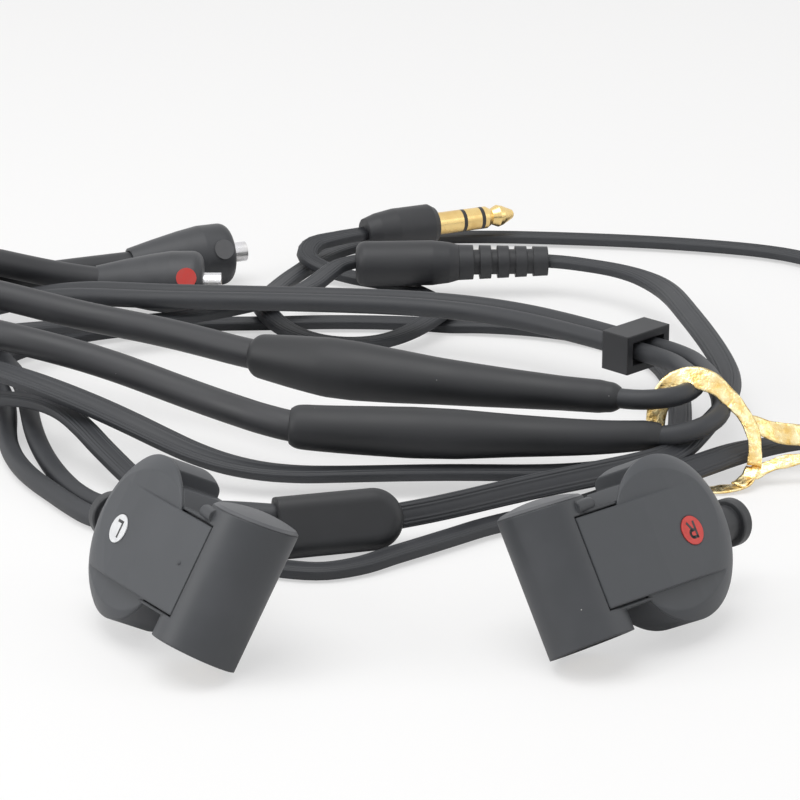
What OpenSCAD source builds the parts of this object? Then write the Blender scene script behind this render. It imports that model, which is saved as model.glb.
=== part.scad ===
// Wired earphones with unplugged cords: two earpieces lie in front, the wound and tied cord behind them.
// Millimetres, +Z up. The origin is on the table, in the middle of the two earpieces' box.
// An earpiece is drawn in its own frame: x runs from the drum to the barrel, y along the barrel
// towards its cap, z out of the drum's cover. The cover's seam lies at z = 0.

/* [Driver] */
// Diameter of the driver
driver_d = 16; // [15:0.5:16.5]
// Height of the driver's frame
driver_h = 1.6; // [1.4:0.1:1.8]
// Diameter of the voice coil
coil_d = 9; // [8:0.2:9.6]
// Clearance round the driver in its seat
driver_fit = 0.05; // [0.02:0.01:0.1]

/* [Drum] */
// Wall between the driver's seat and the outside
drum_wall = 1.75; // [1.5:0.05:2.2]
// Depth of the drum behind the seam of its cover
drum_depth = 5.8; // [5.6:0.1:7]
// Thickness of the drum's floor
floor_t = 1; // [0.8:0.1:1.2]
// Radius of the drum's rear edge
rear_edge_r = 1.1; // [0.6:0.1:1.5]
// Tilt of the drum against the barrel, in degrees
drum_tilt = 4; // [2:0.5:6]

/* [Cover] */
// Height of the cover's face above its seam, at its highest
cover_h = 2; // [1.8:0.1:2.2]
// Height of the hollow in the cover above the seam
cover_hollow_h = 0.45; // [0.35:0.05:0.55]
// Height of the cover's outermost edge
cover_rim_h = 0.3; // [0.2:0.05:0.4]
// Depth of the lip that seats in the drum
lip_depth = 0.8; // [0.6:0.1:1]

/* [Strap] */
// Width of the strap
strap_w = 10.7; // [9:0.1:12]
// Reach of the strap's end from the drum's axis
strap_reach = 14.4; // [13.6:0.1:15]
// Slope of the strap towards the barrel, in degrees
strap_slope = 12; // [11:0.5:13]
// Height of the strap above the seam where its slope starts
strap_h = 1.6; // [1.4:0.1:1.8]
// Distance of the slope's start from the drum's axis
strap_bend = 4.5; // [3.5:0.1:5.5]
// Thickness of the strap's tongue over the barrel
tongue_t = 1; // [0.8:0.1:1.1]
// Gap round the tongue in its pocket
pocket_gap = 0.2; // [0.2:0.05:0.5]
// Diameter of the side mark's disc
mark_d = 3.4; // [2.6:0.1:4]

/* [Barrel] */
// Diameter of the barrel
barrel_d = 10.1; // [9.6:0.1:11]
// Length of the barrel
barrel_len = 16.6; // [15:0.1:19]
// Diameter of the barrel's bore
bore_d = 6.4; // [6:0.1:6.6]
// Distance of the barrel's axis from the drum's axis
barrel_reach = 13.7; // [13.4:0.1:14.4]
// Depth of the barrel's axis below the cover's seam
barrel_drop = 5.5; // [5.3:0.1:6]
// Width of the bridge between drum and barrel
bridge_w = 11.8; // [11.6:0.1:13]

/* [Nozzle] */
// Radius of the lip that an ear tip snaps over
nozzle_lip_r = 2.9; // [2.6:0.1:3.2]
// Radius of the neck behind the lip
nozzle_neck_r = 2.2; // [2:0.05:2.4]
// Radius of the sound bore
nozzle_bore_r = 1.3; // [1:0.05:1.6]
// Reach of the nozzle's end from the drum's axis
nozzle_reach = 16.1; // [15:0.1:18]
// Depth of the nozzle's axis below the cover's seam
nozzle_drop = 3.6; // [3.4:0.05:3.8]

/* [Connector] */
// Outer diameter of the plug-in collar
collar_d = 3; // [2.6:0.1:3.4]
// Length of the plug-in collar that stands out of its boot
collar_len = 2.6; // [2:0.1:3.2]
// Largest diameter of the connector's boot
boot_d = 9.4; // [8:0.1:9.6]
// Length of the connector's boot
boot_len = 16; // [13:0.5:19]

/* [Plug] */
// Diameter of the plug's pin
pin_d = 3.5; // [2.5:0.1:4.4]
// Length of the plug's pin
pin_len = 14; // [13.6:0.1:14.6]
// Diameter of the plug's body
plug_d = 6.6; // [6:0.1:8]
// Length of the plug's body
plug_len = 12; // [10:0.5:18]

/* [Cord] */
// Width of the flat main cord
main_w = 3.2; // [2.8:0.1:3.6]
// Thickness of the flat main cord
main_t = 1.6; // [1.2:0.1:2]
// Diameter of each branch cord
branch_d = 2.6; // [2.2:0.1:2.8]
// Diameter of each ear hanger
hanger_d = 4; // [3.4:0.1:4.4]
// Height of the wound hank
hank_h = 3.6; // [3:0.1:4]
// Width of the wound hank
hank_w = 11; // [8:0.5:14]

/* [Fittings] */
// Length of the pill-shaped splitter
splitter_len = 15.6; // [13:0.2:18]
// Width of the splitter
splitter_w = 7.6; // [7:0.1:8.6]
// Thickness of the splitter
splitter_h = 4.6; // [4.2:0.1:5.4]
// Rounding of the splitter's long edges
splitter_edge_r = 1.7; // [1.2:0.1:2]
// Length of the cord slider
slider_len = 4.6; // [4:0.2:7]
// Wall of the cord slider
slider_wall = 1.1; // [0.8:0.1:1.4]
// Clearance round the cords in the slider
slider_gap = 0.3; // [0.2:0.05:0.5]
// Width of the twist tie's band
tie_w = 3; // [2:0.1:4]
// Thickness of the twist tie's band
tie_t = 0.5; // [0.4:0.05:0.8]

/* [Hidden] */
$fn = 64;

// ---- Where the two earpieces lie: a place and three turns each
left_at = [-32.16, 0.4, 11.38];
left_turn = [58.85, -4.9, -63.2];
right_at = [28.84, 0.3, 11.373];
right_turn = [57.4, 5.4, 48.8];

// ---- Driver and drum, from the front of the drum to its floor
seat_r = driver_d / 2 + driver_fit;
drum_r = seat_r + drum_wall;
frame_top = -lip_depth - 0.1;
frame_base = frame_top - driver_h;
gasket_t = 0.4;
gasket_r = driver_d / 2 - 0.7;
ledge_z = frame_base - gasket_t;
drum_floor_z = -drum_depth + floor_t;
lip_r = drum_r - 1;
coil_r = coil_d / 2;
coil_t = 0.2;
magnet_r = coil_r - coil_t - 0.25;
yoke_in_r = coil_r + 0.25;
yoke_r = yoke_in_r + 0.35;
yoke_t = 0.4;
yoke_top = cover_hollow_h - 0.2;
yoke_rim = frame_top - 0.25;
plate_t = 0.4;
cone_r = driver_d / 2 - 0.8;
cone_z = frame_base + 0.35;
cone_t = 0.2;
travel = 0.2;
dome_sag = 0.9;
seam = 0.01;
vent_r = 0.7;
board_w = 4;
board_d = 1.8;
board_t = 0.4;

// ---- Cover's face and rim: the face falls towards the barrel, the rim is rounded all round
face_line = [[-drum_r - 1, cover_h], [-2.4, cover_h - 0.05], [0.4, cover_h - 0.35], [2.6, cover_h - 0.75],
    [4.8, cover_h - 1.2], [7, cover_h - 1.6], [drum_r + 1, cover_h - 1.85]];
rim_mid_r = 4.5;
rim_low = 5.44;
rim_r = norm([drum_r - rim_mid_r, rim_low]);
rim_from = asin(rim_low / rim_r);

// ---- Strap: its top line in the x-z plane, from the barrel to the drum's far rim
strap_fall = tan(strap_slope);
strap_end_z = strap_h - (strap_reach - strap_bend) * strap_fall;
crown_x = -3;
crown_z = strap_h + 0.75;
strap_line = [
    [strap_reach, strap_end_z], [strap_bend + 0.4, strap_h - 0.4 * strap_fall],
    [strap_bend - 0.6, strap_h + 0.05], [2.4, strap_h + 0.25], [0.4, strap_h + 0.5],
    [crown_x, crown_z], [-6, crown_z + 0.04], [-drum_r, crown_z]
];
tongue_x = drum_r - 1.5;
pocket_start = drum_r - 3;
tongue_top = strap_h - (tongue_x - strap_bend) * strap_fall;
mark_x = -0.8;
mark_tilt = 4;
mark_z = strap_h + 0.59;
mark_t = 0.35;

// ---- Barrel, its cap and its socket, along y
barrel_r = barrel_d / 2;
bore_r = bore_d / 2;
barrel_half = barrel_len / 2;
cap_at = barrel_half - 0.3;
cap_tilt = 5;
cap_seat = 1;
cap_seat_r = bore_r + 0.7;
cap_r = barrel_r - 0.04;
cap_rim = 0.4;
cap_dome = 0.7;
cap_face_r = cap_r - cap_rim;
cap_ball_r = (pow(cap_face_r, 2) + pow(cap_dome, 2)) / (2 * cap_dome);
lug_r = 0.8;
lug_at = [barrel_reach - 2.5, barrel_half - 1.8, -0.8];
collar_r = collar_d / 2;
shank_r = collar_r - 0.3;
socket_fit = 0.05;
socket_r = collar_r + socket_fit;
socket_mouth = 1.7;
mouth_step = 0.25;
socket_start = -barrel_half + socket_mouth;
socket_floor = socket_start + collar_len + 0.4;
socket_end = socket_floor + 1.2;
contact_r = 0.4;

// ---- Nozzle, along -x
boss_r = nozzle_neck_r + 0.35;
boss_end = drum_r + 0.5;
spigot_r = nozzle_neck_r - 0.3;
lip_len = 1.6;
lip_edge = 0.3;
screen_r = nozzle_bore_r + 0.6;
screen_t = 0.4;

// ---- Routes of the cords, as chosen points on the table (x, y, z)
ribbed_route = [[-3, 26, 3.9], [3.4, 29, 4], [11.2, 33.8, 4.2], [20, 37.4, 4.8], [27, 39.4, 5.4],
    [31.5, 43, 5.2], [35, 48.5, 5.4]];
back_route = [[39.4, 57, 6.6], [41.6, 62, 7], [42, 68, 7.4], [40.6, 82, 7.6], [38.6, 98, 7],
    [36.4, 113, 6.2], [31, 124, 5.6], [20, 129, 5.4]];
joint_exit_route = [[-9, 129, 5.4], [-12.5, 126, 3.6], [-13.5, 110, 2]];
far_route = [[-30, 40, 1.4], [-26, 26, 1], [-16, 15.5, 1], [-5, 18.5, 1.2], [9.4, 31.2, 1.2],
    [20, 35, 1.5], [27, 38.6, 2.6], [33.5, 42.6, 3.6], [38.2, 46.4, 3.8], [41.7, 51.3, 3.2],
    [46, 54.6, 2.8], [50.2, 57, 2.4], [58, 63, 1.4], [66.5, 73, 1.2], [72, 88, 1.2], [74, 105, 1.2],
    [70, 130, 1.2], [60.6, 145.5, 1.2], [45, 151.7, 1.2], [24, 155.4, 1.2], [6, 156.4, 1.2],
    [-6, 154, 1.2], [-13, 148, 1.2], [-18, 137, 1.2], [-22, 124, 1.2], [-23, 110, 1.6]];
plug_route = [[-7.8, 145.3, 5], [-12.2, 142, 4], [-10.5, 135, 1.4], [-3, 130, 1], [3, 121, 1],
    [4, 110, 1.6]];
left_start = [[-16.4, 21.7, 2.5], [-21, 21.3, 3.1], [-26, 23.8, 3.3], [-33, 28.4, 2.6], [-44, 40, 2.4]];
right_start = [[-16.5, 23, 5.3], [-22, 24.6, 5.2], [-27, 27.4, 4.4], [-38, 39, 2.4]];
left_return = [[-60, 113, 4], [-50, 111.5, 6.4], [-38, 106.5, 7.4], [-18, 103.2, 8], [3, 100.6, 8],
    [15, 95.6, 8], [25.43, 86.83, 8], [36.83, 75.43, 8], [38.6, 69, 8.4], [39.2, 62, 8.8],
    [38.6, 56, 8.6]];
right_return = [[-60, 109.6, 4], [-50.5, 108.2, 6.4], [-39, 103.2, 7.4], [-18.6, 100, 8], [2, 97.4, 8],
    [13, 92.8, 8], [23.17, 84.57, 8], [34.57, 73.17, 8], [35.9, 67, 8.6], [36.2, 61, 9.2],
    [36, 56, 9]];
left_end = [[31, 46.4, 7.2], [35.4, 46, 7.3], [38.6, 48.6, 7.9]];
right_end = [[26, 51.1, 10.5], [29.2, 49.7, 10.7], [32.2, 49.2, 10.6], [34.9, 50.8, 10]];
left_hanger_route = [[-40.5, 129.9, 4.9], [-50, 125.9, 4.9], [-61, 119, 5.4], [-69.5, 110, 6.4],
    [-74, 98, 8.6], [-73, 85, 11.4], [-65.5, 73.5, 13.8], [-55.3, 66.5, 14], [-42, 62.5, 11.8],
    [-28.3, 55.4, 9], [-16.3, 47.4, 8]];
right_hanger_route = [[-44.5, 119.6, 4.9], [-55, 117.5, 7], [-64, 113.6, 10.6], [-72, 106, 12.8],
    [-75, 95.5, 14.6], [-68.5, 86, 15.6], [-58.5, 82.4, 15], [-46, 78.2, 13], [-34, 74, 12],
    [-21.6, 67.1, 11]];
left_sleeve_route = [[-16.3, 47.4, 8], [-12, 47, 7.8], [-2.3, 46.5, 7.5], [10.4, 45.8, 7.3],
    [23.1, 45.4, 7.2], [31, 46.4, 7.2]];
left_sleeve_r = [2.8, 3.1, 3.35, 2.9, 2.35, 1.8];
right_sleeve_route = [[-21.6, 67.1, 11], [-11.1, 61.7, 11], [2.5, 57, 10.8], [17.2, 53.1, 10.6],
    [26, 51.1, 10.5]];
right_sleeve_r = [3, 4, 3.2, 2.3, 2.1];

// ---- Fittings on the cord
splitter_turn = 15;
splitter_lean = 65;
splitter_wall = 1;
splitter_seam = 0.02;
splitter_rise = (splitter_w / 2 - splitter_edge_r) * sin(splitter_lean)
    + (splitter_h / 2 - splitter_edge_r) * cos(splitter_lean) + splitter_edge_r;
splitter_at = [-9.6, 24.2, splitter_rise];
slider_at = [30, 80, 8];
slider_turn = -45;
pair_pitch = 3.2;
slot_w = pair_pitch + branch_d + 2 * slider_gap;
slot_h = branch_d + 2 * slider_gap;
left_boot_at = [-28.5, 135, 4.9];
left_boot_turn = [0, 90, 23];
right_boot_at = [-31.5, 119.6, 4.9];
right_boot_turn = [0, 90, 0];
joint_at = [20, 129, 5.4];
joint_len = 15.5;
relief_len = 13.5;
relief_ribs = 4;
relief_core_r = 1.9;
joint_r = 3.4;
joint_edge_r = 1.4;
plug_at = [-7.8, 145.3, 5];
plug_turn = [0, 90, 25.5];
tie_r = 7.4;
tie_lean = 33;
tie_at = [36.4, 50.2, tie_r * cos(tie_lean) + tie_w / 2 * sin(tie_lean) + 0.1];
upper_tail_at = [42.6, 50, 7.6];
upper_tail_turn = [0, 16, 6];
lower_tail_at = [42, 46.4, 1.6];
lower_tail_turn = [0, -10, 4];
tail_len = 11;
hank_left = -68;
hank_right = 45;
hank_front = 37;
hank_back = 114;
hank_corner = 20;
bundle_r = 4.4;
bundle_rise = 6.4;
bundle_start = 46.5;
bundle_len = 12;
mark_dot_r = 1.5;
mark_dot_t = 0.5;
mark_dot_at = 2.3;
mark_dot_turn = -25;
boot_edge_r = 1.6;
insulator_len = 2;
recess = 0.4;

// ---- Cord tubes: one polyhedron each, swept along its route
function unit(v) = v / norm(v);
function along(p, i) = unit(p[min(i + 1, len(p) - 1)] - p[max(i - 1, 0)]);
function sideways(d) = unit(cross([0, 0, 1], d));
function ring(c, d, w, h, n) =
    let (s = sideways(d), u = cross(d, s))
    [for (k = [0 : n - 1]) c + s * w * cos((k + 0.5) * 360 / n) + u * h * sin((k + 0.5) * 360 / n)];

module swept(p, w, h, n) {
    m = len(p);
    rings = [for (i = [0 : m - 1]) each ring(p[i], along(p, i), w[i], h[i], n)];
    sides = [for (i = [0 : m - 2], k = [0 : n - 1])
        [i * n + k, i * n + (k + 1) % n, (i + 1) * n + (k + 1) % n, (i + 1) * n + k]];
    first = [for (k = [n - 1 : -1 : 0]) k];
    last = [for (k = [0 : n - 1]) (m - 1) * n + k];
    polyhedron(points = rings, faces = concat(sides, [first], [last]), convexity = 6);
}

module round_tube(p, d) {
    r = [for (q = p) d / 2];
    swept(p, r, r, 8);
}

module flat_tube(p) {
    swept(p, [for (q = p) main_w / 2], [for (q = p) main_t / 2], 8);
}

// ---- Places of the two earpieces
module left_side() { translate(left_at) rotate(left_turn) children(); }
module right_side() { translate(right_at) rotate(right_turn) mirror([1, 0, 0]) children(); }
module tilted() { rotate([drum_tilt, 0, 0]) children(); }
module on_barrel(y) { translate([barrel_reach, y, -barrel_drop]) rotate([-90, 0, 0]) children(); }
module on_nozzle(x) { translate([-x, 0, -nozzle_drop]) rotate([0, -90, 0]) children(); }

// Round arc from one angle to another, as points for a turned outline
function arc(cx, cy, r, a, b, n) =
    [for (i = [0 : n]) let (t = a + (b - a) * i / n) [cx + r * cos(t), cy + r * sin(t)]];

// ---- Earpiece
module drum_body() {
    outline = concat([[0, -drum_depth]],
        arc(drum_r - rear_edge_r, rear_edge_r - drum_depth, rear_edge_r, -90, 0, 8),
        [[drum_r, 0], [0, 0]]);
    tilted() rotate_extrude($fn = 96) polygon(outline);
}

module drum_cavity() {
    tilted() rotate_extrude($fn = 96) polygon([
        [0, drum_floor_z], [gasket_r, drum_floor_z], [gasket_r, ledge_z], [seat_r, ledge_z],
        [seat_r, -lip_depth], [lip_r, -lip_depth], [lip_r, 3], [0, 3]]);
}

module bridge() {
    low = -barrel_drop - 0.4;
    rise = tongue_top - 0.35;
    rise_end = rise - (barrel_reach - tongue_x) * strap_fall;
    shape = [[pocket_start, low], [barrel_reach, low], [barrel_reach, rise_end], [tongue_x, rise],
        [pocket_start, rise]];
    translate([0, bridge_w / 2, 0]) rotate([90, 0, 0]) linear_extrude(bridge_w) polygon(shape);
}

module strap_pocket() {
    floor_z = strap_end_z - tongue_t - 0.1;
    rise = (strap_reach + pocket_gap - pocket_start) * strap_fall;
    shape = [[pocket_start, floor_z + rise], [strap_reach + pocket_gap, floor_z],
        [strap_reach + pocket_gap, strap_h + 2], [pocket_start, strap_h + 2]];
    w = strap_w + 2 * pocket_gap;
    translate([0, w / 2, 0]) rotate([90, 0, 0]) linear_extrude(w) polygon(shape);
}

module rear_housing() {
    color([0.24, 0.25, 0.27]) difference() {
        union() {
            drum_body();
            bridge();
            on_barrel(-barrel_half) cylinder(r = barrel_r, h = barrel_len, $fn = 96);
            on_nozzle(drum_r - 2) cylinder(r = boss_r, h = boss_end - drum_r + 2);
            translate(lug_at) sphere(r = lug_r);
            translate(lug_at) rotate([0, 90, 0]) cylinder(r = lug_r, h = 2.5);
        }
        drum_cavity();
        tilted() cylinder(r = drum_r + 0.02, h = 4, $fn = 96);
        strap_pocket();
        on_barrel(-barrel_half - 1) cylinder(r = bore_r, h = barrel_len + 2);
        on_barrel(-barrel_half - 1) cylinder(r = bore_r + mouth_step, h = socket_mouth + 1);
        at_cap() translate([-barrel_d, -barrel_d, 0]) cube([2 * barrel_d, 2 * barrel_d, 5]);
        at_cap() translate([0, 0, -cap_seat]) cylinder(r = cap_seat_r, h = cap_seat + 1);
        on_nozzle(seat_r + 0.1) cylinder(r = spigot_r, h = 5);
        on_nozzle(gasket_r - 1) cylinder(r = nozzle_bore_r, h = 3);
    }
}

// Round outline of the cover's rim, turned: from the seam up to the rounded edge and over
module rim_round() {
    turned = arc(rim_mid_r, cover_rim_h - rim_low, rim_r, rim_from, 90, 10);
    tilted() rotate_extrude($fn = 96) polygon(concat([[0, seam], [drum_r, seam]], turned,
        [[0, turned[10][1]]]));
}

module face_plate() {
    line = concat(face_line, [[drum_r + 1, seam], [-drum_r - 1, seam]]);
    intersection() {
        rim_round();
        tilted() translate([0, drum_r + 1, 0]) rotate([90, 0, 0]) linear_extrude(2 * drum_r + 2)
            polygon(line);
    }
}

module strap() {
    under = [[-drum_r, -1], [pocket_start, -1], [pocket_start, 0], [tongue_x, 0],
        [tongue_x, tongue_top - tongue_t], [strap_reach, strap_end_z - tongue_t]];
    intersection() {
        translate([0, strap_w / 2, 0]) rotate([90, 0, 0]) linear_extrude(strap_w)
            polygon(concat(strap_line, under));
        union() {
            tilted() translate([0, 0, seam]) cylinder(r = drum_r, h = 8, $fn = 96);
            translate([pocket_start, -strap_w, -5]) cube([strap_reach, 2 * strap_w, 10]);
        }
        union() {
            rim_round();
            translate([2.4, -strap_w, -5]) cube([strap_reach, 2 * strap_w, 10]);
        }
    }
}

module front_cover() {
    lip_z = -lip_depth + 2 * seam;
    color([0.26, 0.27, 0.29]) difference() {
        union() {
            tilted() translate([0, 0, lip_z]) cylinder(r = lip_r - 0.05, h = lip_depth, $fn = 96);
            face_plate();
            strap();
        }
        tilted() translate([0, 0, -3]) cylinder(r = lip_r - 0.75, h = 3.1, $fn = 96);
        tilted() translate([0, 0, -3]) cylinder(r = yoke_r + 0.4, h = 3 + cover_hollow_h);
        at_mark() translate([0, 0, 0.05]) cylinder(r = mark_d / 2 + 0.02, h = 3);
    }
}

module at_mark() {
    translate([mark_x, 0, mark_z]) rotate([0, mark_tilt, 0]) translate([0, 0, -mark_t]) children();
}

module side_mark(mark_color) {
    color(mark_color) at_mark() translate([0, 0, 0.07]) cylinder(r = mark_d / 2, h = mark_t);
}

// The barrel's upper end is cut a little aslant, and its cap lies on the cut
module at_cap() { on_barrel(cap_at) rotate([cap_tilt, 0, 0]) children(); }

module barrel_cap() {
    ball_z = cap_rim + cap_dome - cap_ball_r;
    top = arc(0, ball_z, cap_ball_r, acos(cap_face_r / cap_ball_r), 90, 8);
    outline = concat([[0, 0.02 - cap_seat], [cap_seat_r - 0.02, 0.02 - cap_seat], [cap_seat_r - 0.02, 0.02],
        [cap_r, 0.02], [cap_r, 0.06]], top);
    color([0.34, 0.35, 0.37]) at_cap() rotate_extrude($fn = 96) polygon(outline);
}

module nozzle() {
    color([0.2, 0.21, 0.22]) difference() {
        union() {
            on_nozzle(seat_r + 0.15) cylinder(r = spigot_r - 0.02, h = boss_end - seat_r);
            on_nozzle(boss_end + 0.02) cylinder(r = nozzle_neck_r, h = nozzle_reach - lip_len - boss_end);
            on_nozzle(nozzle_reach - lip_len) rotate_extrude() polygon(concat([[0, 0]],
                arc(nozzle_lip_r - lip_edge, lip_edge, lip_edge, -90, 0, 5),
                arc(nozzle_lip_r - lip_edge, lip_len - lip_edge, lip_edge, 0, 90, 5), [[0, lip_len]]));
        }
        on_nozzle(seat_r) cylinder(r = nozzle_bore_r, h = nozzle_reach);
        on_nozzle(nozzle_reach - screen_t) cylinder(r = screen_r, h = 2);
    }
}

module nozzle_screen() {
    color([0.6, 0.6, 0.62]) on_nozzle(nozzle_reach - screen_t + 0.05)
        cylinder(r = screen_r - 0.02, h = screen_t - 0.15);
}

module driver_frame() {
    color([0.5, 0.5, 0.52]) tilted() difference() {
        translate([0, 0, frame_base]) cylinder(r = driver_d / 2, h = driver_h, $fn = 96);
        translate([0, 0, frame_base - 1]) cylinder(r = cone_r + 0.25, h = 1 + driver_h - plate_t, $fn = 96);
        translate([0, 0, frame_base - 1]) cylinder(r = yoke_r + 0.02, h = driver_h + 2);
        for (a = [30 : 60 : 330]) rotate(a)
            translate([(cone_r + yoke_r) / 2, 0, frame_base])
                cylinder(r = vent_r, h = driver_h + 1, $fn = 24);
    }
}

module driver_gasket() {
    color([0.15, 0.15, 0.15]) tilted() translate([0, 0, ledge_z + 0.02]) difference() {
        cylinder(r = driver_d / 2 - 0.05, h = gasket_t - 0.04, $fn = 96);
        translate([0, 0, -1]) cylinder(r = gasket_r + 0.05, h = 3, $fn = 96);
    }
}

module yoke() {
    color([0.65, 0.66, 0.68]) tilted() difference() {
        translate([0, 0, yoke_rim]) cylinder(r = yoke_r, h = yoke_top - yoke_rim);
        translate([0, 0, yoke_rim - 1]) cylinder(r = yoke_in_r, h = 1 + yoke_top - yoke_rim - yoke_t);
    }
}

module magnet() {
    color([0.72, 0.72, 0.75]) tilted() translate([0, 0, yoke_rim])
        cylinder(r = magnet_r, h = yoke_top - yoke_t - yoke_rim);
}

module voice_coil() {
    top = yoke_top - yoke_t - travel - 0.3;
    color([0.75, 0.45, 0.25]) tilted() translate([0, 0, cone_z]) difference() {
        cylinder(r = coil_r, h = top - cone_z);
        translate([0, 0, -1]) cylinder(r = coil_r - coil_t, h = 5);
    }
}

module diaphragm() {
    dome = [for (i = [0 : 8]) let (t = i / 8) [coil_r * t, -dome_sag * cos(90 * t)]];
    skin = concat(dome, [[cone_r, 0], [cone_r, -cone_t]],
        [for (i = [8 : -1 : 0]) [dome[i][0], dome[i][1] - cone_t]]);
    color([0.85, 0.85, 0.8]) tilted() translate([0, 0, cone_z]) rotate_extrude() polygon(skin);
}

module terminal_board() {
    color([0.1, 0.4, 0.2]) tilted() rotate(90)
        translate([(cone_r + yoke_r - board_d) / 2, -board_w / 2, frame_top + 0.02])
        cube([board_d, board_w, board_t]);
}

module socket_shell() {
    color([0.8, 0.75, 0.55]) on_barrel(socket_start) difference() {
        cylinder(r = bore_r - 0.02, h = socket_end - socket_start);
        translate([0, 0, -1]) cylinder(r = socket_r, h = 10);
    }
}

module socket_insulator() {
    color([0.9, 0.9, 0.88]) on_barrel(socket_floor) difference() {
        cylinder(r = socket_r - 0.02, h = socket_end - socket_floor);
        translate([0, 0, -1]) cylinder(r = contact_r + 0.02, h = 5);
    }
}

module socket_contact() {
    color([0.85, 0.7, 0.3]) on_barrel(socket_start + 0.8)
        cylinder(r = contact_r, h = socket_end - socket_start, $fn = 24);
}

// ---- Cord side
module rounded_plate(x0, x1, y0, y1, r, h) {
    translate([x0 + r, y0, 0]) cube([x1 - x0 - 2 * r, y1 - y0, h]);
    translate([x0, y0 + r, 0]) cube([x1 - x0, y1 - y0 - 2 * r, h]);
    for (x = [x0 + r, x1 - r], y = [y0 + r, y1 - r]) translate([x, y, 0]) cylinder(r = r, h = h);
}

module cord_hank() {
    color([0.15, 0.15, 0.16]) {
        difference() {
            rounded_plate(hank_left, hank_right, hank_front, hank_back, hank_corner, hank_h);
            translate([0, 0, -1]) rounded_plate(hank_left + hank_w, hank_right - hank_w,
                hank_front + hank_w, hank_back - hank_w, hank_corner - hank_w, hank_h + 2);
        }
        translate([tie_at[0], bundle_start, bundle_rise]) rotate([-90, 0, 0])
            cylinder(r = bundle_r, h = bundle_len);
    }
}

module main_cord() {
    color([0.17, 0.17, 0.18]) {
        flat_tube(ribbed_route);
        flat_tube(back_route);
        flat_tube(joint_exit_route);
        flat_tube(far_route);
        flat_tube(plug_route);
    }
}

module left_branch_cord() {
    color([0.17, 0.17, 0.18]) {
        round_tube(left_start, branch_d);
        round_tube(left_return, branch_d);
        round_tube(left_end, branch_d);
    }
}

module right_branch_cord() {
    color([0.17, 0.17, 0.18]) {
        round_tube(right_start, branch_d);
        round_tube(right_return, branch_d);
        round_tube(right_end, branch_d);
    }
}

module left_hanger() { color([0.2, 0.2, 0.21]) round_tube(left_hanger_route, hanger_d); }
module right_hanger() { color([0.2, 0.2, 0.21]) round_tube(right_hanger_route, hanger_d); }
module left_hanger_sleeve() {
    color([0.14, 0.14, 0.15]) swept(left_sleeve_route, left_sleeve_r, left_sleeve_r, 24);
}
module right_hanger_sleeve() {
    color([0.14, 0.14, 0.15]) swept(right_sleeve_route, right_sleeve_r, right_sleeve_r, 24);
}

// A quarter of the splitter's section, smaller all round by the inset
module splitter_quarter(inset, base) {
    half_w = splitter_w / 2 - inset;
    half_h = splitter_h / 2 - inset;
    r = splitter_edge_r - inset;
    intersection() {
        union() {
            square([half_w, half_h - r]);
            square([half_w - r, half_h]);
            translate([half_w - r, half_h - r]) circle(r = r);
        }
        translate([0, base]) square([half_w, half_h - base]);
    }
}

// Half a pill with one flat end and one round end
module splitter_half(inset, base) {
    bend_at = (splitter_len - splitter_w) / 2;
    translate([inset - splitter_len / 2, 0, 0]) rotate([90, 0, 90])
        linear_extrude(bend_at + splitter_len / 2 - inset) {
            splitter_quarter(inset, base);
            mirror([1, 0]) splitter_quarter(inset, base);
        }
    translate([bend_at, 0, 0]) rotate(-90) rotate_extrude(angle = 180) splitter_quarter(inset, base);
}

module splitter_shell() {
    difference() {
        splitter_half(0, splitter_seam);
        splitter_half(splitter_wall, 0);
    }
}

module splitter_place() {
    color([0.13, 0.13, 0.14]) translate(splitter_at) rotate([splitter_lean, 0, splitter_turn]) children();
}

module splitter_lower_shell() { splitter_place() mirror([0, 0, 1]) splitter_shell(); }
module splitter_upper_shell() { splitter_place() splitter_shell(); }

module cord_slider() {
    w = slot_w + 2 * slider_wall;
    h = slot_h + 2 * slider_wall;
    color([0.12, 0.12, 0.13]) translate(slider_at) rotate(slider_turn) difference() {
        translate([-slider_len / 2, -w / 2, -h / 2]) cube([slider_len, w, h]);
        translate([-slider_len, -slot_w / 2, -slot_h / 2]) cube([2 * slider_len, slot_w, slot_h]);
    }
}

module twist_tie() {
    color([0.83, 0.62, 0.2]) {
        translate(tie_at) rotate([-90 - tie_lean, 0, 0]) difference() {
            translate([0, 0, -tie_w / 2]) cylinder(r = tie_r, h = tie_w);
            translate([0, 0, -tie_w]) cylinder(r = tie_r - tie_t, h = 2 * tie_w);
        }
        translate(upper_tail_at) rotate(upper_tail_turn) cube([tail_len, tie_w, tie_t * 2]);
        translate(lower_tail_at) rotate(lower_tail_turn) cube([tail_len, tie_w, tie_t * 2]);
    }
}

// The boot starts at its collar and runs back to its ear hanger
module boot() {
    r = boot_d / 2;
    outline = concat([[0, 0]], arc(r - boot_edge_r, boot_edge_r, boot_edge_r, -90, 0, 6),
        [[r, boot_len * 0.3], [r - 0.5, boot_len * 0.5], [r - 1.3, boot_len * 0.75],
        [hanger_d / 2 + 0.5, boot_len], [0, boot_len]]);
    rotate_extrude() polygon(outline);
}

module at_left_boot() { translate(left_boot_at) rotate(left_boot_turn) mirror([0, 0, 1]) children(); }
module at_right_boot() { translate(right_boot_at) rotate(right_boot_turn) mirror([0, 0, 1]) children(); }

module boot_with_bore() {
    difference() {
        boot();
        translate([0, 0, -1]) cylinder(r = shank_r + 0.02, h = insulator_len + 1.5);
        translate([0, 0, boot_len - 3]) cylinder(r = hanger_d / 2 + 0.1, h = 4);
    }
}

module collar() {
    translate([0, 0, -collar_len]) difference() {
        union() {
            cylinder(r = collar_r, h = collar_len);
            cylinder(r = shank_r, h = collar_len + insulator_len);
        }
        translate([0, 0, -1]) cylinder(r = collar_r - 0.4, h = collar_len + 4);
    }
}

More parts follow.
